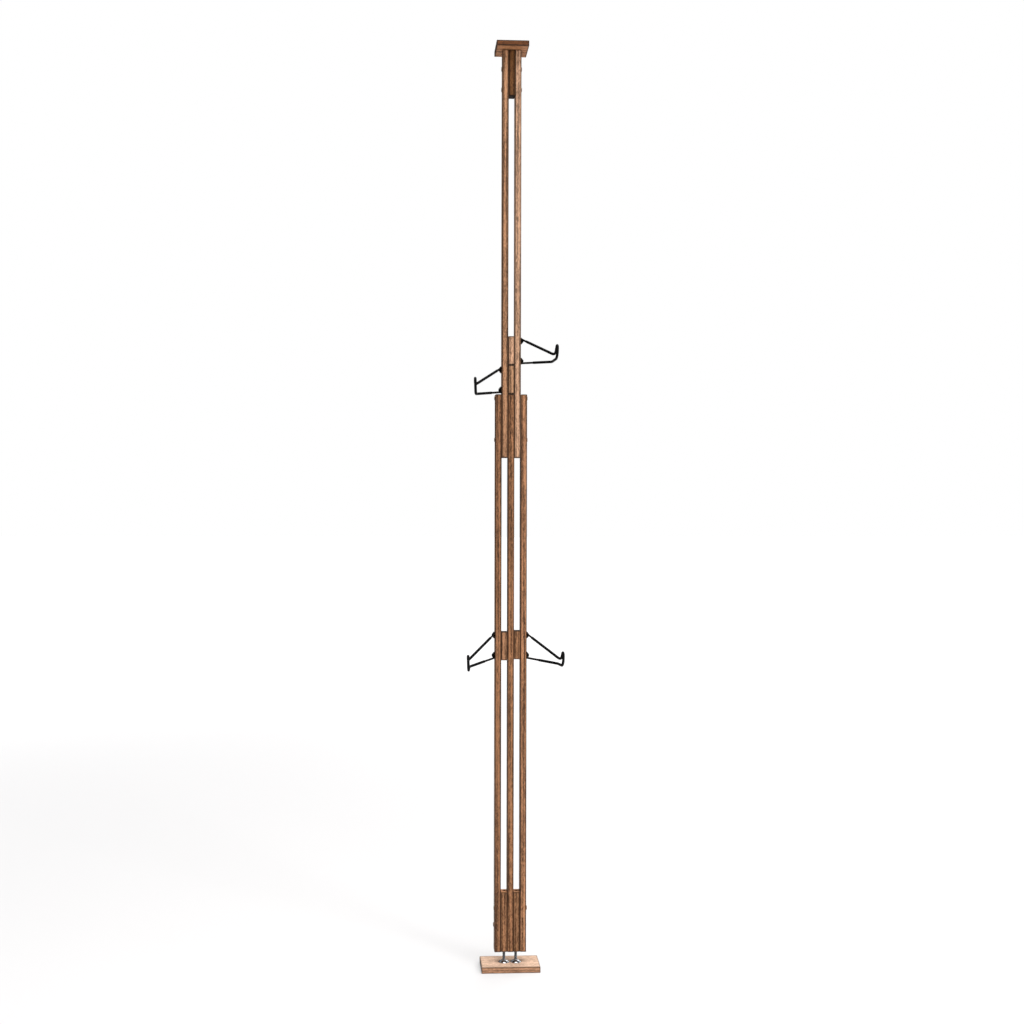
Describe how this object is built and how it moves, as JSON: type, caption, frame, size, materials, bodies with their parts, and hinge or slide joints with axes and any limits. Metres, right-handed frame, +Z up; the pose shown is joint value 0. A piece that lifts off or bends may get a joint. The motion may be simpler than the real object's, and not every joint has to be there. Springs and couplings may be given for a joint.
{
  "type": "floor-to-ceiling bicycle pole rack",
  "caption": "Wooden tension pole of telescoping laths on screw feet, jammed between floor and ceiling, with bent-rod arms whose cradles hold bicycles.",
  "frame": {"origin": "middle of the floor plate's underside", "axes": "+Z up along the pole, -Y the way the arms reach, +X to the right as seen from the front"},
  "size_m": [0.2699, 0.2159, 2.655],
  "materials": {
    "pale_wood": "clear oiled",
    "wood": "stained and oiled",
    "light_wood": "stained and oiled",
    "dark_wood": "dark stained",
    "black_steel": "satin black",
    "black_sleeve": "smooth matte",
    "bronzed_steel": "bronzed",
    "chrome": "bright",
    "zinc": "zinc plated"
  },
  "bodies": {
    "floor_plate": {"floor_plate": "pale_wood"},
    "foot_left": {"foot_disc_left": "chrome", "foot_rod_left": "zinc"},
    "foot_right": {"foot_disc_right": "chrome", "foot_rod_right": "zinc"},
    "lower_frame": {"foot_inserts": "zinc", "foot_block_left": "wood", "foot_block_right": "wood", "foot_block_bolts": "bronzed_steel", "foot_block_nuts": "bronzed_steel", "outer_lath_left": "wood", "centre_lath": "wood", "outer_lath_right": "light_wood", "mid_block_left": "wood", "mid_block_right": "wood", "lower_arm_sleeve_nuts": "zinc", "lower_left_arm": "black_steel", "lower_left_grip": "black_sleeve", "lower_left_washers": "black_steel", "lower_left_bolts": "black_steel", "lower_right_arm": "black_steel", "lower_right_grip": "black_sleeve", "lower_right_washers": "black_steel", "lower_right_bolts": "black_steel", "clamp_bolts": "bronzed_steel", "clamp_nuts": "bronzed_steel"},
    "upper_frame": {"inner_lath_left": "light_wood", "inner_lath_right": "light_wood", "top_block": "dark_wood", "top_block_bolts": "bronzed_steel", "top_block_nuts": "bronzed_steel", "ceiling_plate": "dark_wood", "ceiling_plate_screws": "zinc"},
    "upper_left_carrier": {"upper_left_block": "wood", "upper_left_inserts": "zinc", "upper_left_arm": "black_steel", "upper_left_grip": "black_sleeve", "upper_left_washers": "black_steel", "upper_left_bolts": "black_steel"},
    "upper_right_carrier": {"upper_right_block": "wood", "upper_right_inserts": "zinc", "upper_right_arm": "black_steel", "upper_right_grip": "black_sleeve", "upper_right_washers": "black_steel", "upper_right_bolts": "black_steel"}
  },
  "joints": [
    {"name": "jack", "type": "slide", "parent": "floor_plate", "child": "lower_frame", "axis": [0, 0, 1], "range_m": [-0.02, 0.06]},
    {"name": "foot_left_turn", "type": "hinge", "parent": "floor_plate", "child": "foot_left", "pos_m": [-0.017, 0, 0.018], "axis": [0, 0, 1], "range_deg": [-17400, 5800]},
    {"name": "foot_right_turn", "type": "hinge", "parent": "floor_plate", "child": "foot_right", "pos_m": [0.017, 0, 0.018], "axis": [0, 0, 1], "range_deg": [-17400, 5800]},
    {"name": "ceiling_height", "type": "slide", "parent": "lower_frame", "child": "upper_frame", "axis": [0, 0, 1], "range_m": [-0.45, 0.03]},
    {"name": "upper_left_arm_slide", "type": "slide", "parent": "lower_frame", "child": "upper_left_carrier", "axis": [0, 0, 1], "range_m": [0, 0.1]},
    {"name": "upper_right_arm_slide", "type": "slide", "parent": "upper_left_carrier", "child": "upper_right_carrier", "axis": [0, 0, 1], "range_m": [0, 0.12]}
  ],
  "couplings": [
    {"joint": "foot_left_turn", "follows": "jack", "rad_per_m": -5026.5},
    {"joint": "foot_right_turn", "follows": "jack", "rad_per_m": -5026.5}
  ]
}
